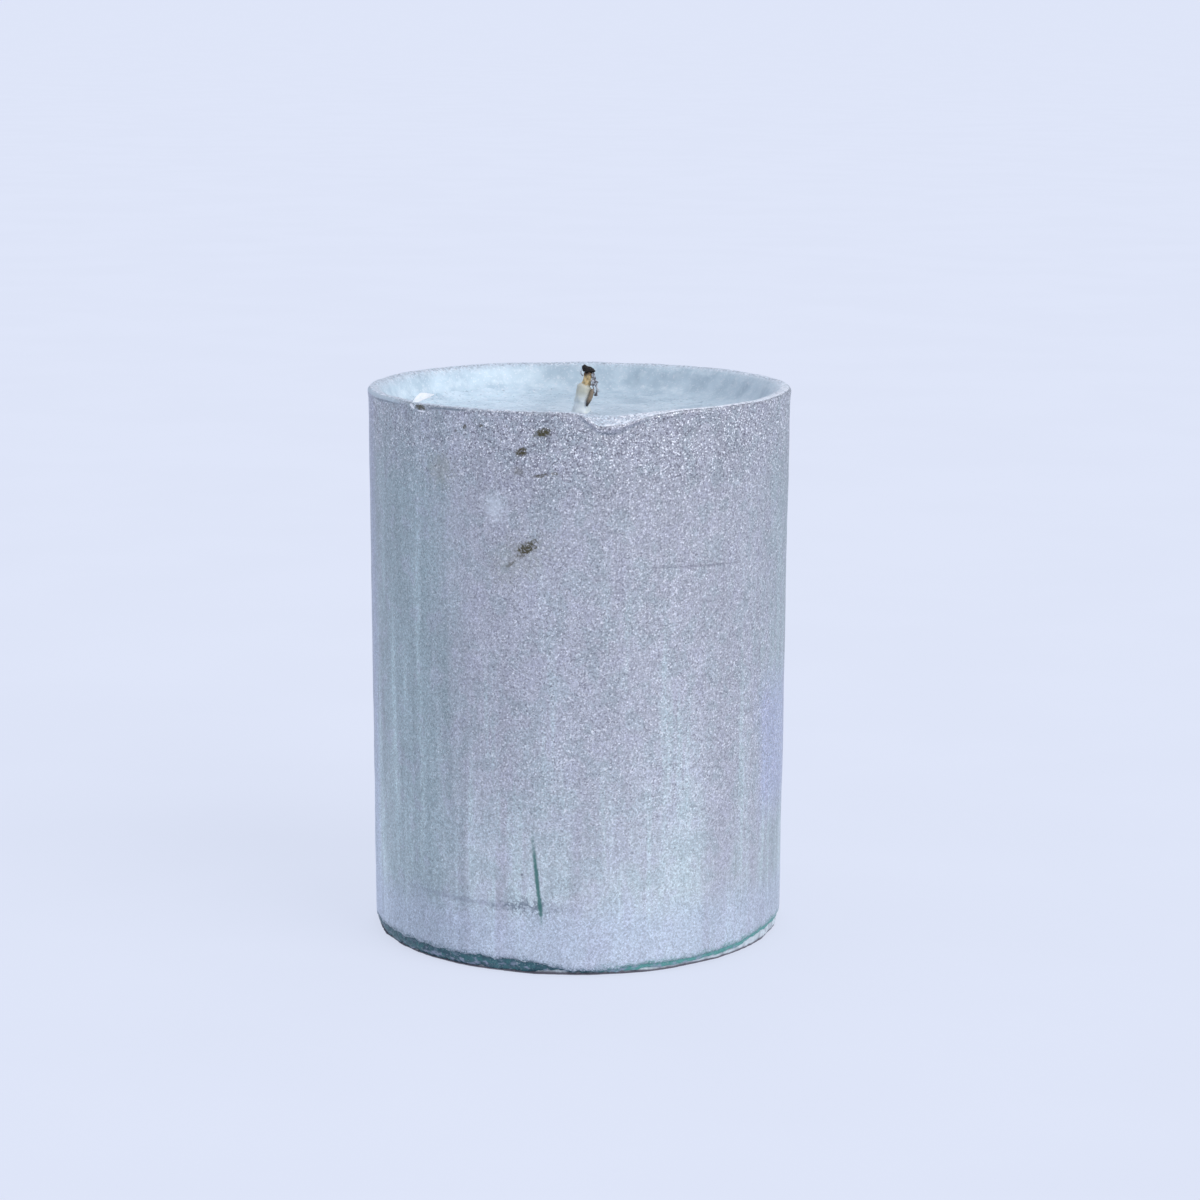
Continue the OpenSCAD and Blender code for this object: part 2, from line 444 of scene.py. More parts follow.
def char_head():
    """The burnt head: crumbly lumps of char, lower towards +X."""
    mid = (CHAR_LOW + CHAR_HIGH) / 2
    x, z = mid[0] - 0.3, mid[2]
    parts = [
        lump((x - 0.56, 0.0, z + 0.28), (0.58, 0.86, 0.52), 1.0),
        lump((x + 0.30, -0.1, z - 0.06), (0.78, 0.86, 0.42), 2.0),
        lump((x + 0.0, 0.25, z + 0.02), (0.85, 0.70, 0.46), 3.0),
        lump((x - 0.25, -0.45, z - 0.1), (0.6, 0.5, 0.36), 4.0),
        lump((x + 0.80, 0.0, z - 0.26), (0.44, 0.56, 0.38), 5.0),
        lump((x - 0.66, 0.1, z + 0.60), (0.32, 0.4, 0.26), 6.0),
        lump((x - 0.15, 0.1, z + 0.36), (0.4, 0.45, 0.22), 7.0),
    ]
    return make_piece("char_head", *join_parts(parts), "char", "wick_char")


def beaded(path_points, r, bead, seed):
    """A scorched thread: a thin tube that swells into beads of char and ash."""
    path, radii = [], []
    count = 70
    for i in range(count):
        t = i / (count - 1) * (len(path_points) - 1)
        k = min(int(t), len(path_points) - 2)
        f = t - k
        f = f * f * (3 - 2 * f)
        p = Vector(path_points[k]).lerp(Vector(path_points[k + 1]), f)
        wob = noise.noise_vector(Vector((t * 1.7, seed, 0))) * 0.10
        path.append(p + wob)
        radii.append(r + bead * max(0.0, noise.noise(Vector((t * 3.3, seed, 5)))))
    radii[0] = radii[-1] = r * 0.5
    return tube(path, radii, 8)


def loose_threads():
    """Burnt strand ends: one hangs at the right, one loops at the left, one lies down the front."""
    x = (CHAR_LOW[0] + CHAR_HIGH[0]) / 2 - 0.42
    z = CHAR_LOW[2]
    right = [(x + 0.9, -0.2, z + 0.6), (x + 1.25, -0.2, z - 0.4), (x + 1.60, -0.1, z - 1.6),
             (x + 1.78, -0.1, z - 2.7), (x + 1.5, -0.2, z - 3.7)]
    inner = [(x + 0.9, -0.5, z + 0.3), (x + 1.0, -0.7, z - 1.2), (x + 1.15, -0.6, z - 2.4),
             (x + 1.1, -0.6, z - 3.2)]
    left = [(x - 0.5, -0.3, z + 1.2), (x - 1.05, -0.3, z + 1.1), (x - 1.25, -0.2, z + 0.5),
            (x - 0.8, -0.2, z - 0.1)]
    return make_piece("loose_threads", *join_parts([
        beaded(right, 0.19, 0.6, 1.0), beaded(inner, 0.16, 0.6, 2.0), beaded(left, 0.09, 0.12, 3.0),
    ]), "char")


def burnt_strand():
    """The brown strand that peeled off and lies down the front of the stem."""
    low = POOL_Z + 1.7
    path = [(WICK_X + 1.75, -0.85, low + 2.9), (WICK_X + 1.6, -1.2, low + 2.0),
            (WICK_X + 1.25, -1.4, low + 1.1), (WICK_X + 0.9, -1.5, low + 0.35),
            (WICK_X + 0.72, -1.5, low - 0.15)]
    radii = [0.24, 0.38, 0.41, 0.30, 0.13]
    fine, fine_r = [], []
    for i in range(41):
        t = i / 40 * 4
        k = min(int(t), 3)
        fine.append(Vector(path[k]).lerp(Vector(path[k + 1]), t - k))
        uneven = 0.05 * noise.noise(Vector((t * 4, 3, 1)))
        fine_r.append(radii[k] + (radii[k + 1] - radii[k]) * (t - k) + uneven)
    return make_piece("burnt_strand", *tube(fine, fine_r, 12), "cotton")


# ---------------------------------------------------------------- sustainer and flake
def sustainer():
    """The wick tab: a pressed disc with an embossed ring and a neck crimped on the wick."""
    theta = angles(144)
    wave = np.cos(np.radians(theta * 4))
    z0 = TAB_LOW[2]
    disc = [(0.2, 0.55), (1.1, 0.5), (1.9, 0.12), (2.4, 0.0), (4.6, 0.0), (5.0, 0.16), (5.7, 0.16),
            (6.1, 0.0), (TAB_R - 0.5, 0.0), (TAB_R - 0.12, 0.03), (TAB_R, 0.15), (TAB_R - 0.12, 0.3),
            (6.1, 0.3), (2.3, 0.3)]
    rows = [on_side(theta, r, z0 + z) for r, z in disc]
    for z in np.linspace(0.45, TAB_HIGH[2] - z0, 12):
        pinch = 0.22 * wave * bump(z, 4.6, 1.3)
        narrow = 0.15 * bump(z, 4.6, 1.3)
        rows.append(on_side(theta, 1.95 - pinch - narrow, z0 + z))
    grid = np.array(rows)
    grid[..., 0] += WICK_X
    return revolve_piece("wick_tab", grid, "tinplate", "wick_sustainer")


def flake_point(u, v):
    """A point of the chip: u from its root to its tip along the rim, v from its lower to its upper edge."""
    low = float(np.interp(u, [0, 0.22, 0.45, 0.76, 1], [-0.35, -0.3, 0.35, 0.8, 1.25]))
    high = float(np.interp(u, [0, 0.05, 0.14, 0.5, 1], [-0.1, 0.8, 1.62, 1.55, 1.38]))
    high += 0.10 * noise.noise(Vector((u * 9, 3.1, 0)))
    up = low + (high - low) * v
    theta = math.radians(FLAKE_THETA - 3.4 + u * 3.3)
    r = RIM_R - 0.2 - 2.3 * u - 0.6 * max(up, 0) ** 1.2 + 0.07 * math.sin(u * 7 + v * 2)
    return Vector((r * math.sin(theta), -r * math.cos(theta), RIM_Z - 0.1 + up))


def lifted_flake():
    """The chip of coat that curls up off the rim, jagged on its free side."""
    cols, rows = 48, 24
    front = [flake_point(j / (cols - 1), i / (rows - 1)) for i in range(rows) for j in range(cols)]
    back = [p + Vector((0.02, 0.05, -0.06)) for p in front]
    size = rows * cols
    faces = grid_faces(rows, cols, 0, False)
    faces += [tuple(reversed(f)) for f in grid_faces(rows, cols, size, False)]
    border = list(range(cols)) + [i * cols + cols - 1 for i in range(1, rows)]
    border += [size - 1 - j for j in range(1, cols)] + [i * cols for i in range(rows - 2, 0, -1)]
    for a, b in zip(border, border[1:] + border[:1]):
        faces.append((b, a, a + size, b + size))
    return make_piece("lifted_flake", front + back, faces, "flake", "coat_flake")


# ---------------------------------------------------------------- materials
class Graph:
    """Short names for building a node material."""

    def __init__(self, name):
        self.material = bpy.data.materials.new(name)
        self.material.use_nodes = True
        self.nodes = self.material.node_tree.nodes
        self.links = self.material.node_tree.links
        self.shader = self.nodes["Principled BSDF"]
        coords = self.nodes.new("ShaderNodeTexCoord")
        self.mm = self.vector("SCALE", coords.outputs["Object"], 1 / MM)
        split = self.nodes.new("ShaderNodeSeparateXYZ")
        self.links.new(self.mm, split.inputs[0])
        self.x, self.y, self.z = split.outputs
        turned = self.math("ARCTAN2", self.x, self.math("MULTIPLY", self.y, -1))
        self.theta = self.math("MULTIPLY", turned, 180 / math.pi)

    def put(self, socket, value):
        """A value on a socket, or a link to it."""
        if isinstance(value, bpy.types.NodeSocket):
            self.links.new(value, socket)
        elif hasattr(socket.default_value, "__len__") and not hasattr(value, "__len__"):
            socket.default_value = (value,) * len(socket.default_value)
        elif hasattr(value, "__len__") and len(value) == 3 and len(socket.default_value) == 4:
            socket.default_value = (*value, 1)
        else:
            socket.default_value = value

    def math(self, operation, a, b=0.0, clamp=False):
        node = self.nodes.new("ShaderNodeMath")
        node.operation = operation
        node.use_clamp = clamp
        for socket, value in zip(node.inputs, (a, b)):
            self.put(socket, value)
        return node.outputs[0]

    def vector(self, operation, a, b=None):
        node = self.nodes.new("ShaderNodeVectorMath")
        node.operation = operation
        self.put(node.inputs[0], a)
        if operation == "SCALE":
            self.put(node.inputs["Scale"], b)
        elif b is not None:
            self.put(node.inputs[1], b)
        return node.outputs["Value"] if operation == "LENGTH" else node.outputs[0]

    def noise(self, size, detail=2.0, stretch=(1, 1, 1), seed=0.0, rough=0.5):
        """Noise from 0 to 1 with features about size mm across, drawn out along an axis by stretch."""
        node = self.nodes.new("ShaderNodeTexNoise")
        at = self.vector("MULTIPLY", self.mm, tuple(1 / (size * s) for s in stretch))
        self.put(node.inputs["Vector"], self.vector("ADD", at, (seed, seed * 1.7, seed * 2.3)))
        self.put(node.inputs["Scale"], 1.0)
        self.put(node.inputs["Detail"], detail)
        self.put(node.inputs["Roughness"], rough)
        return node.outputs["Fac"]

    def cells(self, size, seed=0.0, output="Color"):
        """A random colour, or the distance, for each grain about size mm across."""
        node = self.nodes.new("ShaderNodeTexVoronoi")
        at = self.vector("SCALE", self.mm, 1 / size)
        self.put(node.inputs["Vector"], self.vector("ADD", at, (seed, seed, seed)))
        self.put(node.inputs["Scale"], 1.0)
        return node.outputs[output]

    def split(self, colour):
        node = self.nodes.new("ShaderNodeSeparateColor")
        self.put(node.inputs[0], colour)
        return node.outputs

    def step(self, value, low, high, top=1.0):
        """0 at low, top at high, smooth between."""
        node = self.nodes.new("ShaderNodeMapRange")
        node.interpolation_type = "SMOOTHSTEP"
        sockets = {"Value": value, "From Min": low, "From Max": high, "To Min": 0.0, "To Max": top}
        for name, v in sockets.items():
            self.put(node.inputs[name], v)
        return node.outputs[0]

    def times(self, *values):
        out = values[0]
        for v in values[1:]:
            out = self.math("MULTIPLY", out, v)
        return out

    def plus(self, *values):
        out = values[0]
        for v in values[1:]:
            out = self.math("ADD", out, v)
        return out

    def less(self, value):
        """One minus the value."""
        return self.math("SUBTRACT", 1.0, value)

    def mix(self, amount, a, b):
        """Colour a, or colour b where amount is 1."""
        node = self.nodes.new("ShaderNodeMix")
        node.data_type = "RGBA"
        self.put(node.inputs["Factor"], amount)
        self.put(node.inputs[6], a)
        self.put(node.inputs[7], b)
        return node.outputs[2]

    def brighten(self, colour, factor):
        return self.vector("SCALE", colour, factor)

    def bump(self, height, strength=1.0, distance=0.1, normal=None):
        """A bump whose height is in units of distance mm."""
        node = self.nodes.new("ShaderNodeBump")
        self.put(node.inputs["Height"], height)
        self.put(node.inputs["Strength"], strength)
        self.put(node.inputs["Distance"], distance * MM)
        if normal is not None:
            self.put(node.inputs["Normal"], normal)
        return node.outputs[0]

    def blot(self, theta, z, width, height, tilt=0.0, ragged=0.5, soft=0.35):
        """A ragged spot on the side, width by height mm, turned by tilt degrees."""
        across = self.math("MULTIPLY", self.math("SUBTRACT", self.theta, theta), math.pi / 180 * RIM_R)
        up = self.math("SUBTRACT", self.z, z)
        c, s = math.cos(math.radians(tilt)), math.sin(math.radians(tilt))
        u = self.math("DIVIDE", self.plus(self.times(across, c), self.times(up, s)), width / 2)
        v = self.math("DIVIDE", self.plus(self.times(across, -s), self.times(up, c)), height / 2)
        far = self.math("SQRT", self.plus(self.times(u, u), self.times(v, v)))
        broken = self.plus(far, self.times(self.math("SUBTRACT", self.fray, 0.5), ragged * 4))
        return self.less(self.step(broken, 1 - soft, 1 + soft))

    def finish(self, colour, roughness, metallic=0.0, normal=None, **others):
        self.put(self.shader.inputs["Base Color"], colour)
        self.put(self.shader.inputs["Roughness"], roughness)
        self.put(self.shader.inputs["Metallic"], metallic)
        if normal is not None:
            self.put(self.shader.inputs["Normal"], normal)
        for name, value in others.items():
            self.put(self.shader.inputs[name.replace("_", " ")], value)
        return self.material


LAVENDER = (0.455, 0.470, 0.530)
VIOLET_GREY = (0.47, 0.47, 0.58)
TEAL_GREY = (0.345, 0.437, 0.464)
PALE_MINT = (0.545, 0.64, 0.66)
# Painted bounce light from the floor, and painted reflection of the backdrop at the side edges:
FLOOR_BOUNCE_BLUE = (0.49, 0.54, 0.645)
EDGE_REFLECTION_BLUE = (0.44, 0.47, 0.66)
# White of the painted glints:
GLINT_WHITE = (0.95, 0.96, 1.0)
# Dark of the pits, also used for painted shade in a crease:
PIT_AND_CREASE_SHADE = (0.13, 0.125, 0.165)
OLIVE = (0.052, 0.045, 0.014)
OLIVE_HAZE = (0.30, 0.32, 0.24)
PALE_SPOT = (0.78, 0.83, 0.90)
RIM_SHADOW = (0.17, 0.22, 0.27)
WRAP_PALE = (0.58, 0.68, 0.74)
RING_GREY = (0.22, 0.24, 0.32)
BRUISE = (0.20, 0.24, 0.29)
GREEN_WAX = (0.025, 0.145, 0.13)
FRINGE_LEFT = (0.075, 0.15, 0.19)
# Lighter green at the right, painted light:
FRINGE_RIGHT_PAINTED_LIGHT = (0.10, 0.30, 0.27)
WELL_SHADE = (0.46, 0.58, 0.66)
WELL_LIGHT = (0.68, 0.80, 0.87)
WELL_WHITE = (0.84, 0.92, 0.96)

# theta, height, width and height of the mark, its tilt, its strength
OLIVE_SPECKS = [
    (-9.0, 95.9, 2.5, 1.5, 18, 1), (-14.6, 92.5, 1.9, 1.5, 20, 1), (-15.4, 89.2, 1.6, 1.3, 0, 0.45),
    (-9.6, 88.5, 2.6, 0.55, 10, 0.8), (-6.0, 88.9, 1.2, 0.5, 0, 0.7), (-13.2, 75.9, 4.2, 1.9, 32, 0.95),
    (-18.0, 72.9, 2.0, 0.7, 40, 0.6), (-30.7, 96.3, 0.7, 0.7, 0, 0.9), (-25.9, 96.7, 0.7, 0.5, 0, 0.9),
    (-33.5, 95.4, 0.6, 0.5, 0, 0.7), (-45.5, 98.75, 2.7, 0.85, 0, 0.9), (49.0, 16.5, 0.5, 5.5, 4, 0.18),
]
RIM_SHADOWS = [
    (-35.5, 99.05, 8.0, 0.34, 1, 0.75), (-64.0, 98.7, 12.0, 0.32, 1, 0.6), (-20, 99.0, 7.0, 0.26, 0, 0.35),
    (2.2, 97.4, 4.2, 0.8, -52, 0.42), (7.6, 95.75, 3.4, 0.55, 0, 0.42), (14.5, 97.0, 7.5, 0.5, 27, 0.34),
]


def teal_amount(g, turn, left, thin):
    """How much teal shows: at both sides of the front, in patches behind, and in the low streaks."""
    right = g.times(g.step(turn, 52, 78), g.step(turn, 150, 110))
    teal = g.math("ADD", g.times(left, 0.85), g.times(right, 0.6), clamp=True)
    behind = g.step(g.math("ABSOLUTE", turn), 84, 112)
    stain = g.times(g.step(g.noise(17, 3, (1, 1, 2.6), 17.0), 0.46, 0.60), behind, 0.75)
    teal = g.math("ADD", teal, stain, clamp=True)
    teal = g.times(teal, g.less(g.step(g.z, 84, 95, 0.55)))
    return g.math("ADD", teal, g.times(g.step(thin, 0.55, 0.72), g.step(g.z, 84, 40), 0.30), clamp=True)


def pale_streaks(g, colour, streak, thin, cloud):
    """Mint streaks low on the side, and thin pale lines higher up."""
    low = g.step(g.plus(g.z, g.times(cloud, 30)), 66, 22)
    mint = g.times(low, g.step(streak, 0.38, 0.62), 0.85)
    lines = g.times(g.step(thin, 0.54, 0.68), g.step(g.z, 90, 50), 0.35)
    return g.mix(lines, g.mix(mint, colour, PALE_MINT), PALE_MINT)


def blotches(g, colour):
    """Soft patches of teal-grey and violet-grey."""
    blotch = g.noise(3.4, 2, (1, 1, 1.3), 12.0)
    colour = g.mix(g.step(blotch, 0.50, 0.60, 0.30), colour, TEAL_GREY)
    return g.mix(g.step(blotch, 0.44, 0.36, 0.25), colour, VIOLET_GREY)


def blue_reflection_and_bounce(g, colour, turn, cloud):
    """Bluer along the left edge and in a patch at the right edge as painted reflection of the backdrop, and
    paler and bluer round the foot as painted bounce light from the floor.
    """
    # Painted reflection of the backdrop along the left edge.
    edge = g.times(g.step(g.theta, -70, -76), g.step(g.theta, -104, -86), 0.35)
    colour = g.mix(edge, colour, EDGE_REFLECTION_BLUE)
    # Painted bounce light from the floor round the foot.
    foot = g.step(g.plus(g.z, g.times(cloud, 8)), 19, 12)
    colour = g.mix(g.times(foot, 0.6), colour, FLOOR_BOUNCE_BLUE)
    # Painted reflection of the backdrop in a patch at the right edge.
    beside = g.times(g.step(turn, 54, 64), g.step(turn, 112, 90))
    patch = g.times(beside, g.step(g.z, 54, 42), g.step(g.z, 20, 30), 0.6)
    return g.mix(patch, colour, EDGE_REFLECTION_BLUE)


def brush_colour(g):
    """The coat's colour before its grain: lavender-grey, teal at the sides, pale streaks low down, with
    painted reflection at the edges, painted bounce light towards the bottom and painted shade at the right.
    """
    wide = g.noise(7.5, 3, (1, 1, 9), 1.0)
    thin = g.noise(2.1, 3, (1, 1, 18), 1.5)
    hair = g.noise(0.8, 2, (1, 1, 30), 2.0)
    broad = g.noise(16, 3, (1, 1, 1.6), 3.0)
    cloud = g.noise(5, 4, (1, 1, 1.3), 5.0)
    streak = g.plus(g.times(wide, 0.6), g.times(thin, 0.4))
    turn = g.plus(g.theta, g.times(g.math("SUBTRACT", streak, 0.5), 34))
    far_left = g.plus(0.65, g.times(g.step(turn, -78, -58), 0.35))
    left = g.times(g.step(turn, -26, -46), far_left, g.step(turn, -150, -110))
    colour = g.mix(teal_amount(g, turn, left, thin), LAVENDER, TEAL_GREY)
    colour = pale_streaks(g, colour, streak, thin, cloud)
    colour = blue_reflection_and_bounce(g, blotches(g, colour), turn, cloud)
    # Tone of the brush streaks, with painted light in it: lighter towards the bottom as painted bounce light
    # from the floor, darker at the right of the front as painted shade.
    shade = g.plus(0.50, g.times(wide, 0.22), g.times(thin, 0.16), g.times(hair, 0.14), g.times(broad, 0.28),
                   g.times(cloud, 0.16), g.times(g.step(g.z, 100, 0), 0.14),
                   g.times(g.math("SUBTRACT", thin, 0.5), left, 0.35),
                   g.times(g.step(turn, 10, 36), g.step(turn, 150, 100), -0.055))
    return g.brighten(colour, shade), hair, cloud, broad


def grain_layer(g, colour, size, seed, dark, bright, busy):
    """Random grains: each cell is a little lighter or darker, some are white flakes painted as glints, some
    are pits.
    """
    cell = g.split(g.cells(size, seed))
    colour = g.brighten(colour, g.plus(0.82, g.times(cell[2], 0.36)))
    pit = g.times(g.step(cell[1], dark, dark * 0.5), busy, 0.65)
    # Painted glints: white flakes, more where the grain is busy.
    flake = g.times(g.step(cell[0], 1 - bright, 1 - bright * 0.5), busy, 0.8)
    colour = g.mix(pit, colour, PIT_AND_CREASE_SHADE)
    return g.mix(flake, colour, GLINT_WHITE), flake, cell


def painted_light_right(g):
    """1 at the right of the front, where the green wax is painted lighter as painted light on the lit side.
    """
    return g.times(g.step(g.theta, 0, 18), g.step(g.theta, 125, 95))


def worn_fringe(g):
    """How thin the coat is just above its worn lower edge, 0 to 1."""
    left = g.times(g.step(g.theta, -91, -77), g.step(g.theta, 0, -14), 1.55)
    right = g.times(g.step(g.theta, 3, 21), g.step(g.theta, 93, 75), 0.75)
    climb = g.times(g.step(g.theta, 30, 72), g.step(g.theta, 110, 84), 1.5)
    above = g.math("SUBTRACT", g.z, g.plus(1.0, left, right, climb))
    ragged = g.times(g.math("SUBTRACT", g.noise(1.3, 4, (1, 1, 0.7), 14.0), 0.5), 2.4)
    return g.step(g.plus(above, ragged), 1.15, -0.1)


def olive_specks(g):
    """The olive-brown specks at the front, and sparse ones behind."""
    spots = 0.0
    for *place, strength in OLIVE_SPECKS:
        spots = g.math("MAXIMUM", spots, g.times(g.blot(*place, 0.55), strength))
    behind = g.step(g.math("ABSOLUTE", g.theta), 86, 100)
    sparse = g.times(g.step(g.noise(1.7, 3, (1, 1, 0.7), 31.0), 0.71, 0.76), behind, 0.8)
    return g.math("MAXIMUM", spots, sparse)


def speck_paint(g, colour, spots, grain):
    """The specks with the haze round them, and a pale spot."""
    haze = g.times(g.blot(-15.5, 74.0, 9, 6, 35, 0.9, soft=0.8), 0.25)
    haze = g.math("MAXIMUM", haze, g.times(g.blot(-38.7, 88.4, 5, 4, 0, 0.9, soft=0.8), 0.3))
    colour = g.mix(haze, colour, OLIVE_HAZE)
    colour = g.mix(g.times(spots, g.step(grain, 0.08, 0.3)), colour, OLIVE)
    pale = g.times(g.blot(-22, 82.7, 3.4, 4.6, 15, 1.0, soft=0.8), 0.5)
    return g.mix(pale, colour, PALE_SPOT)


def rim_marks(g, colour):
    """The bright chip under the flake, painted as a white glint, painted shadow lines along the rim and in
    the crease under the sagging lip, and pale wax lapping the left rim.
    """
    # Painted glint on the chip.
    chip = g.math("MAXIMUM", g.blot(-49.0, 98.75, 1.5, 0.55, -25, 0.2, soft=0.2),
                  g.blot(-45.2, 98.15, 2.4, 0.26, 0, 0.5))
    colour = g.mix(g.times(chip, 0.85), colour, GLINT_WHITE)
    # Painted shadow lines along the rim and in the crease.
    for *place, strength in RIM_SHADOWS:
        colour = g.mix(g.times(g.blot(*place, 0.4, soft=0.6), strength), colour, RIM_SHADOW)
    top = g.step(g.z, RIM_Z - 0.75, RIM_Z - 0.45)
    wrap = g.times(top, g.step(g.theta, -50, -60), g.step(g.theta, -100, -86), 0.8)
    return g.mix(wrap, colour, WRAP_PALE)


def low_marks(g, colour):
    """The faint ring low down, painted shade in the fine crease at the right, and the pitted bruise beside
    the scratch.
    """
    ring = g.times(g.blot(-26, 12.3, 30, 0.8, -1, 0.7, soft=0.7), 0.35)
    colour = g.mix(ring, colour, RING_GREY)
    # Painted shade in a fine crease at the right.
    crease = g.times(g.blot(36, 72.0, 18, 0.35, -2, 0.5, soft=0.6), 0.4)
    colour = g.mix(crease, colour, PIT_AND_CREASE_SHADE)
    pitted = g.split(g.cells(0.36, 21.0))
    bruise = g.times(g.blot(-13.5, 12.3, 10, 3.0, 0, 0.6, soft=0.8), g.step(pitted[0], 0.5, 0.7), 0.85)
    return g.mix(bruise, colour, BRUISE)


def scratch_line(g):
    """The scratch low on the front, wider at its foot."""
    return g.math("MAXIMUM", g.blot(-10.7, 17.4, 0.72, 13.2, 6, 0.22, soft=0.6),
                  g.blot(-9.9, 12.6, 0.8, 4.2, 6, 0.22, soft=0.5))


def silver_paint():
    """Metallic paint brushed on wax: fine grains with painted glints, upright brush streaks, teal showing
    through, marks, painted shadow lines at the rim, painted reflection at the edges and painted bounce light
    low down.
    """
    g = Graph("silver_paint")
    g.fray = g.noise(0.55, 3, seed=4.0)
    colour, hair, cloud, broad = brush_colour(g)
    centre = g.times(g.step(g.theta, -46, -10), g.step(g.theta, 150, 90), g.step(g.z, 12, 40))
    top = g.step(g.z, 80, 95)
    fringe = worn_fringe(g)
    busy = g.plus(0.12, g.times(g.step(g.z, 4, 22), 0.14), g.times(centre, 0.36), g.times(top, 0.55))
    colour, flake, cell = grain_layer(g, colour, 0.18, 1.0, 0.24, 0.13, busy)
    colour, _, cell_2 = grain_layer(g, colour, 0.29, 6.0, 0.12, 0.04, busy)
    worn = g.times(fringe, g.plus(0.25, g.times(g.step(cell[0], 0.75, 0.25), 0.75)), 0.85)
    # The worn fringe shows green, lighter at the right as painted light.
    colour = g.mix(worn, colour, g.mix(painted_light_right(g), FRINGE_LEFT, FRINGE_RIGHT_PAINTED_LIGHT))
    spots = olive_specks(g)
    colour = low_marks(g, rim_marks(g, speck_paint(g, colour, spots, cell[1])))
    scratch = scratch_line(g)
    colour = g.mix(g.times(scratch, 0.92), colour, GREEN_WAX)
    colour = g.mix(g.times(g.blot(-14.8, 18.1, 0.5, 0.5, 0, 0.2), 0.7), colour, PIT_AND_CREASE_SHADE)
    spots = g.math("MAXIMUM", spots, scratch)
    height = g.plus(g.times(g.cells(0.18, 1.0, "Distance"), -0.5), g.times(cell_2[2], 0.4),
                    g.times(hair, 0.6), g.times(cloud, 1.2), g.times(spots, -1.5))
    normal = g.bump(height, 0.42, 0.08)
    rough = g.math("SUBTRACT", g.plus(0.44, g.times(broad, 0.14)), g.times(flake, 0.15))
    metal = g.math("SUBTRACT", 0.4, g.times(spots, 0.4), clamp=True)
    return g.finish(colour, rough, metal, normal)


def green_wax():
    """Dark teal-green dyed wax, mottled with traces of silver."""
    g = Graph("green_dyed_wax")
    mottle = g.noise(0.9, 4, seed=2.0)
    dust = g.step(g.noise(0.3, 2, seed=6.0), 0.60, 0.70)
    colour = g.mix(g.step(mottle, 0.35, 0.7), (0.022, 0.075, 0.108), (0.040, 0.155, 0.172))
    lighter = g.mix(mottle, (0.07, 0.26, 0.24), (0.14, 0.42, 0.38))
    # Lighter at the right of the front, painted light.
    colour = g.mix(g.times(painted_light_right(g), 0.8), colour, lighter)
    patch = g.times(g.step(g.noise(1.8, 3, (1, 1, 0.5), 9.0), 0.50, 0.62), g.step(g.z, 2.8, 1.2), 0.75)
    colour = g.mix(patch, colour, (0.30, 0.34, 0.46))
    colour = g.mix(g.times(dust, 0.6), colour, (0.36, 0.44, 0.48))
    normal = g.bump(g.plus(mottle, g.times(dust, 0.5)), 0.6, 0.2)
    return g.finish(colour, g.plus(0.35, g.times(mottle, 0.3)), 0.0, normal, Subsurface_Weight=0.08,
                    Subsurface_Radius=(0.0005, 0.001, 0.001))


def well_painted_shade(g):
    """Painted shade: the wax in the well is a little darker from the middle to the right."""
    return g.less(g.step(g.x, -16, -3, 0.12))


def well_colour(g, mottle, veins):
    """Aqua-white mottled wax of the well's wall, with a few flakes painted as white glints, and painted shade
    to the right.
    """
    flakes = g.split(g.cells(0.25, 5.0))
    colour = g.mix(g.step(mottle, 0.24, 0.76), WELL_SHADE, WELL_LIGHT)
    colour = g.mix(g.times(g.step(veins, 0.5, 0.7), 0.35), colour, WELL_WHITE)
    colour = g.mix(g.times(g.step(flakes[0], 0.88, 0.95), 0.35), colour, GLINT_WHITE)
    # Painted shade towards the right.
    return g.brighten(colour, well_painted_shade(g))


def lip_silver(g, depth, grains):
    """Silver grains on the melted lip: a painted highlight on its crest at the right, white painted glints,
    most on the front, pitted on the front's tongue.
    """
    silver = g.brighten((0.62, 0.69, 0.76), g.plus(0.76, g.times(grains[2], 0.4)))
    # Painted highlight on the crest at the right.
    crest = g.times(g.step(depth, RIM_R - 2.4, RIM_R - 1.0), g.step(g.x, 4, 12), g.step(g.y, 12, -4), 0.7)
    silver = g.mix(crest, silver, (0.90, 0.93, 0.97))
    # Painted glints, more of them on the front.
    front = g.plus(0.12, g.times(g.step(g.y, -20, -34), g.step(g.x, -14, 0), 0.48))
    bright = g.step(grains[0], g.less(front), 0.97)
    silver = g.mix(g.times(bright, 0.9), silver, GLINT_WHITE)
    silver = g.mix(g.times(g.step(grains[1], 0.20, 0.10), 0.55), silver, (0.20, 0.23, 0.28))
    tongue = g.times(g.step(g.y, -30, -35), g.step(g.x, -4, 2), g.step(g.x, 20, 12))
    return g.mix(g.times(tongue, g.step(grains[1], 0.55, 0.35), 0.5), silver, (0.30, 0.33, 0.40))


def base_colour(g, depth, veins):
    """Dull wax at the base, with a painted shadow where its edge touches the ground."""
    dull = g.mix(g.step(veins, 0.30, 0.6), (0.38, 0.42, 0.46), (0.62, 0.69, 0.73))
    low = g.step(g.plus(g.z, g.times(veins, 0.4)), 1.0, 0.6)
    # Painted shadow along the base edge, where it meets the ground.
    contact_shadow = g.times(low, g.step(depth, RIM_R - 4.4, RIM_R - 3.2))
    return g.mix(g.times(contact_shadow, 0.9), dull, (0.055, 0.04, 0.06))


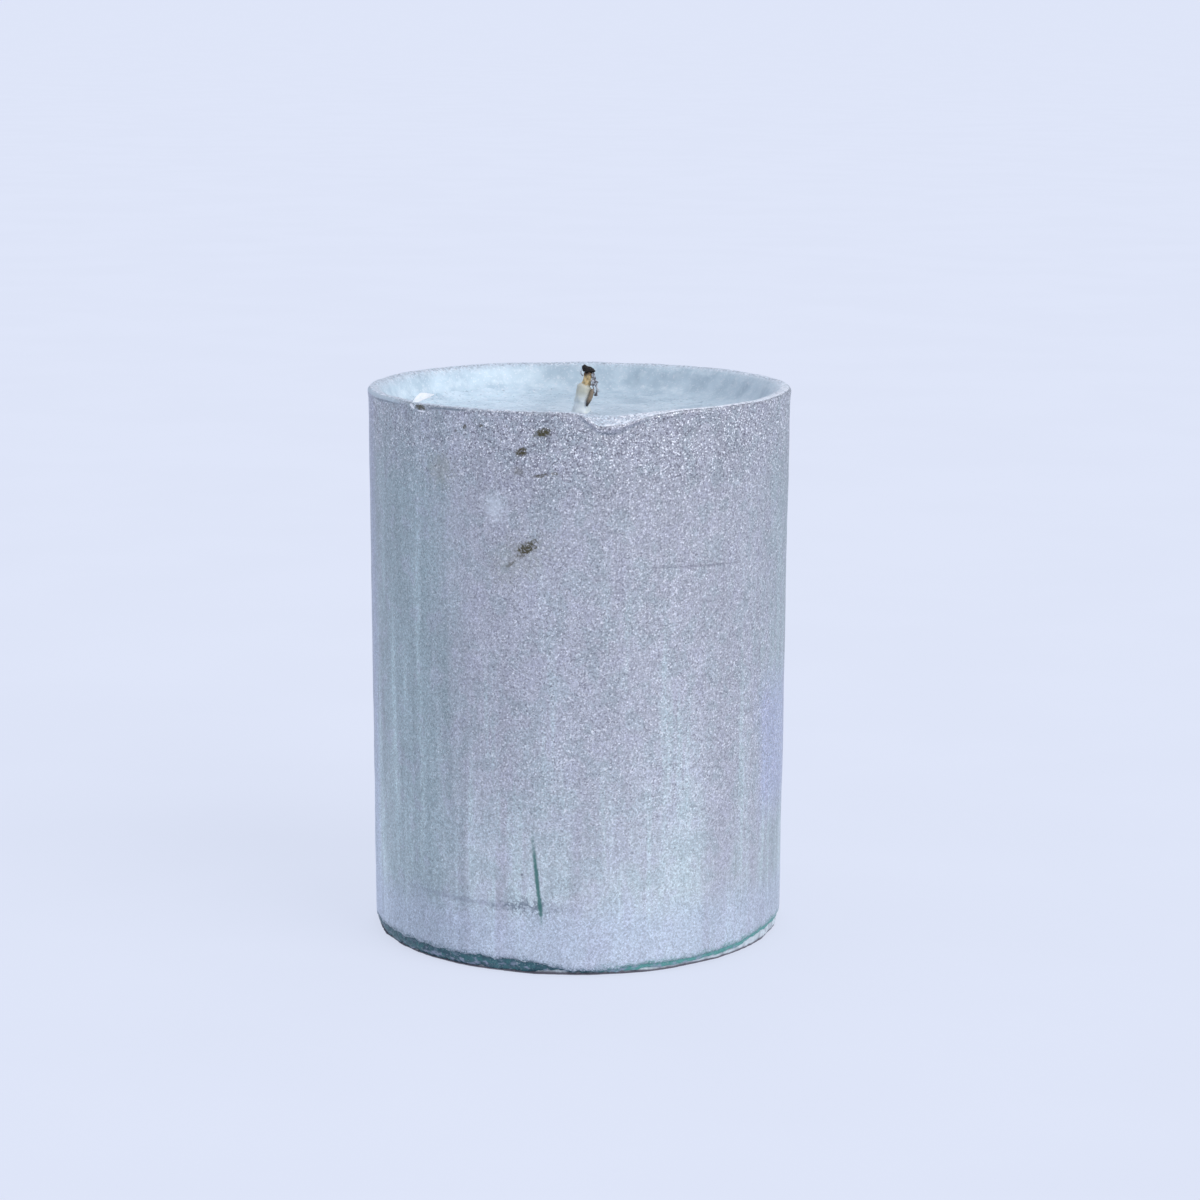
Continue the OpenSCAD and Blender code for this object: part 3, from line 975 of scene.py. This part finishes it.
def core_wax():
    """Pale wax of the core: silvered and grainy on the lip, glossy and mottled in the well, rough below."""
    g = Graph("core_pale_wax")
    mottle = g.noise(4.2, 4, seed=3.0)
    veins = g.noise(1.5, 3, seed=7.0)
    grains = g.split(g.cells(0.34, 2.0))
    depth = g.vector("LENGTH", g.vector("MULTIPLY", g.mm, (1, 1, 0)))
    on_lip = g.times(g.step(depth, RIM_R - 3.0, RIM_R - 1.4), g.step(g.z, RIM_Z - 4, RIM_Z - 2))
    well = g.step(g.z, POOL_Z - 2, POOL_Z)
    colour = g.mix(on_lip, well_colour(g, mottle, veins), lip_silver(g, depth, grains))
    colour = g.mix(g.step(g.z, 8, 4), colour, base_colour(g, depth, veins))
    height = g.plus(g.times(veins, 0.35), g.times(grains[2], g.plus(0.12, g.times(on_lip, 0.7))))
    normal = g.bump(height, 0.5, 0.16)
    rough = g.math("SUBTRACT", 0.52, g.times(well, g.less(on_lip), 0.2))
    return g.finish(colour, rough, g.times(on_lip, 0.3), normal, Subsurface_Weight=0.12,
                    Subsurface_Radius=(0.002, 0.003, 0.003))


def pool_wax():
    """Set melt pool: aqua-white, cloudy and glossy, with silver grains caught in it, some painted as white
    glints, and painted shade to the right.
    """
    g = Graph("set_pool_wax")
    cloud = g.noise(4.5, 4, seed=2.0)
    curd = g.noise(1.3, 3, seed=8.0)
    flakes = g.split(g.cells(0.35, 3.0))
    colour = g.mix(g.step(cloud, 0.32, 0.68), WELL_SHADE, WELL_LIGHT)
    colour = g.mix(g.times(g.step(curd, 0.52, 0.72), 0.45), colour, WELL_WHITE)
    colour = g.mix(g.times(g.step(flakes[0], 0.90, 0.96), 0.5), colour, GLINT_WHITE)
    colour = g.mix(g.times(g.step(flakes[1], 0.05, 0.02), 0.5), colour, (0.22, 0.26, 0.32))
    # Painted shade towards the right.
    colour = g.brighten(colour, well_painted_shade(g))
    near = g.times(g.step(g.y, -22, -32), g.step(flakes[2], 0.55, 0.8), 0.35)
    colour = g.mix(near, colour, (0.42, 0.48, 0.56))
    beside_wick = g.vector("SUBTRACT", g.mm, (WICK_X, 0, 0))
    from_wick = g.vector("LENGTH", g.vector("MULTIPLY", beside_wick, (1, 1, 0)))
    # Greyer round the wick.
    grey_round_wick = g.times(g.step(g.plus(from_wick, g.times(curd, 3)), 6, 3), 0.25)
    colour = g.mix(grey_round_wick, colour, (0.42, 0.42, 0.46))
    height = g.plus(cloud, g.times(curd, 0.8))
    normal = g.bump(height, 0.45, 0.2)
    return g.finish(colour, g.plus(0.18, g.times(curd, 0.25)), 0.0, normal, Subsurface_Weight=0.15,
                    Subsurface_Radius=(0.003, 0.004, 0.004), Coat_Weight=0.25, Coat_Roughness=0.15)


def sleeve_wax():
    """Wax on the lower stem: cream, half clear."""
    g = Graph("stem_wax")
    cloud = g.noise(0.8, 3, seed=1.0)
    up = g.step(g.z, POOL_Z + 2.2, POOL_Z + 4.4)
    colour = g.mix(g.step(cloud, 0.35, 0.65), (0.62, 0.67, 0.68), (0.74, 0.79, 0.80))
    colour = g.mix(g.times(up, 0.8), colour, (0.56, 0.54, 0.42))
    return g.finish(colour, 0.3, 0.0, g.bump(cloud, 0.5, 0.15), Subsurface_Weight=0.3,
                    Subsurface_Radius=(0.001, 0.001, 0.0008))


def cotton():
    """Waxed cotton: cream in the wax, tan above, brown to black at the burnt end, with fibres."""
    g = Graph("wick_cotton")
    fibre = g.noise(0.11, 3, (1, 1, 5), 1.0)
    patch = g.noise(0.9, 3, seed=3.0)
    height_z = g.plus(g.z, g.times(g.math("SUBTRACT", patch, 0.5), 1.2))
    colour = g.mix(g.step(height_z, POOL_Z + 3.0, POOL_Z + 5.5), (0.66, 0.62, 0.50), (0.62, 0.46, 0.24))
    colour = g.mix(g.step(height_z, CHAR_LOW[2] - 0.3, CHAR_LOW[2] + 0.5), colour, (0.10, 0.06, 0.035))
    colour = g.brighten(colour, g.plus(0.70, g.times(fibre, 0.6)))
    return g.finish(colour, 0.75, 0.0, g.bump(fibre, 0.8, 0.08), Sheen_Weight=0.15, Subsurface_Weight=0.1,
                    Subsurface_Radius=(0.0006, 0.0004, 0.0002))


def scorched():
    """The scorched strand: brown above, near black at its tip."""
    g = Graph("scorched_cotton")
    fibre = g.noise(0.12, 3, (1, 1, 4), 2.0)
    low = g.step(g.z, POOL_Z + 3.0, POOL_Z + 1.9)
    colour = g.mix(low, (0.26, 0.20, 0.14), (0.035, 0.03, 0.03))
    colour = g.mix(g.times(g.step(fibre, 0.55, 0.7), 0.5), colour, (0.42, 0.36, 0.29))
    return g.finish(colour, 0.8, 0.0, g.bump(fibre, 0.8, 0.08))


def char():
    """Crumbly black char with patches of ash."""
    g = Graph("wick_char_crust")
    crumb = g.noise(0.22, 4, seed=1.0, rough=0.65)
    ash = g.step(g.noise(0.5, 3, seed=5.0), 0.60, 0.74)
    colour = g.mix(g.step(crumb, 0.35, 0.75), (0.008, 0.007, 0.007), (0.045, 0.036, 0.03))
    colour = g.mix(g.times(ash, 0.25), colour, (0.30, 0.29, 0.27))
    return g.finish(colour, 0.85, 0.0, g.bump(crumb, 1.0, 0.18))


def thread_char():
    """Thin burnt threads: dark, with pale ash and wax beads."""
    g = Graph("burnt_thread")
    band = g.noise(0.7, 3, seed=2.0)
    colour = g.mix(g.step(band, 0.40, 0.62), (0.10, 0.09, 0.10), (0.58, 0.60, 0.64))
    return g.finish(colour, 0.7, 0.0, g.bump(g.noise(0.15, 3, seed=4.0), 0.8, 0.08))


def tinplate():
    """Pressed tinplate: faint rolling lines and dull spots."""
    g = Graph("pressed_tinplate")
    lines = g.noise(0.25, 2, (14, 1, 1), 1.0)
    dull = g.noise(2.2, 4, seed=3.0)
    colour = g.mix(g.step(dull, 0.4, 0.75), (0.62, 0.63, 0.64), (0.44, 0.44, 0.43))
    rough = g.plus(0.24, g.times(lines, 0.16), g.times(dull, 0.2))
    return g.finish(colour, rough, 1.0, g.bump(lines, 0.3, 0.03))


def flake_paint():
    """The coat's chip: near-white silver all over, partly a painted highlight of the lit chip."""
    g = Graph("flake_paint")
    grain = g.split(g.cells(0.3, 2.0))
    wave = g.noise(0.9, 3, seed=1.0)
    colour = g.mix(g.step(wave, 0.30, 0.50), (0.86, 0.91, 0.94), (0.97, 0.985, 0.99))
    colour = g.brighten(colour, g.plus(0.93, g.times(grain[0], 0.07)))
    return g.finish(colour, 0.4, 0.0, g.bump(wave, 0.4, 0.08))


def dress(piece, material):
    """The piece with only this material."""
    piece.data.materials.clear()
    piece.data.materials.append(material)


# ---------------------------------------------------------------- stage, light and camera
BACKDROP = (0.735, 0.788, 0.933)
LENS = 100.3
CAMERA_AT = (0.00387, -0.600, 0.1722)
CAMERA_DOWN = 10.584    # degrees below level
CAMERA_ROLL = 0.2


def floor_material():
    """Pale studio paper, mostly self-lit so that the model throws almost no shadow."""
    g = Graph("studio_floor")
    speck = g.noise(60, 3, seed=1.0)
    colour = g.mix(g.step(speck, 0.3, 0.7), (0.156, 0.160, 0.180), (0.166, 0.170, 0.190))
    return g.finish(colour, 0.9, 0.0, Specular_IOR_Level=0.0, Emission_Color=BACKDROP, Emission_Strength=0.80)


def make_floor():
    size = 60.0
    mesh = bpy.data.meshes.new("studio_floor")
    corners = [(-size, -size, 0), (size, -size, 0), (size, size, 0), (-size, size, 0)]
    mesh.from_pydata(corners, [], [(0, 1, 2, 3)])
    floor = bpy.data.objects.new("studio_floor", mesh)
    bpy.context.scene.collection.objects.link(floor)
    floor.location.z = CORE_LOW[2] * MM
    dress(floor, floor_material())


def make_world():
    world = bpy.data.worlds.new("studio")
    world.use_nodes = True
    background = world.node_tree.nodes["Background"]
    background.inputs["Color"].default_value = (*BACKDROP, 1)
    background.inputs["Strength"].default_value = 0.78
    bpy.context.scene.world = world


def soft_sun(name, towards, power, softness, colour):
    """A very soft distant light, so the floor is lit evenly. towards is where it comes from."""
    data = bpy.data.lights.new(name, "SUN")
    data.energy = power
    data.angle = math.radians(softness)
    data.color = colour
    light = bpy.data.objects.new(name, data)
    light.rotation_euler = Vector(towards).to_track_quat("Z", "Y").to_euler()
    light.location = Vector(towards)
    bpy.context.scene.collection.objects.link(light)


def make_lights():
    soft_sun("key", (0.85, -0.75, 0.75), 1.4, 45, (1.0, 0.99, 0.97))
    soft_sun("top", (-0.1, 0.3, 1.0), 0.3, 60, (0.97, 0.98, 1.0))


def make_camera():
    data = bpy.data.cameras.new("camera")
    data.lens = LENS
    data.sensor_width = 36
    data.clip_start, data.clip_end = 0.01, 50
    camera = bpy.data.objects.new("camera", data)
    camera.location = CAMERA_AT
    camera.rotation_mode = "XYZ"
    camera.rotation_euler = (math.radians(90 - CAMERA_DOWN), 0, 0)
    camera.rotation_euler.rotate_axis("Z", math.radians(CAMERA_ROLL))
    bpy.context.scene.collection.objects.link(camera)
    bpy.context.scene.camera = camera


def main():
    noise.seed_set(7)       # noise_vector takes its offsets from this; unset, they come from the clock
    scene = bpy.context.scene
    scene.view_settings.view_transform = "Standard"
    scene.view_settings.look = "None"
    make_world()
    make_floor()
    make_lights()
    make_camera()
    dress(silver_coat(), silver_paint())
    dress(green_layer(), green_wax())
    dress(core_body(), core_wax())
    dress(melt_pool(), pool_wax())
    dress(wick_braid(), cotton())
    dress(wax_sleeve(), sleeve_wax())
    dress(char_head(), char())
    dress(loose_threads(), thread_char())
    dress(burnt_strand(), scorched())
    dress(sustainer(), tinplate())
    dress(lifted_flake(), flake_paint())


main()
bpy.context.view_layer.update()
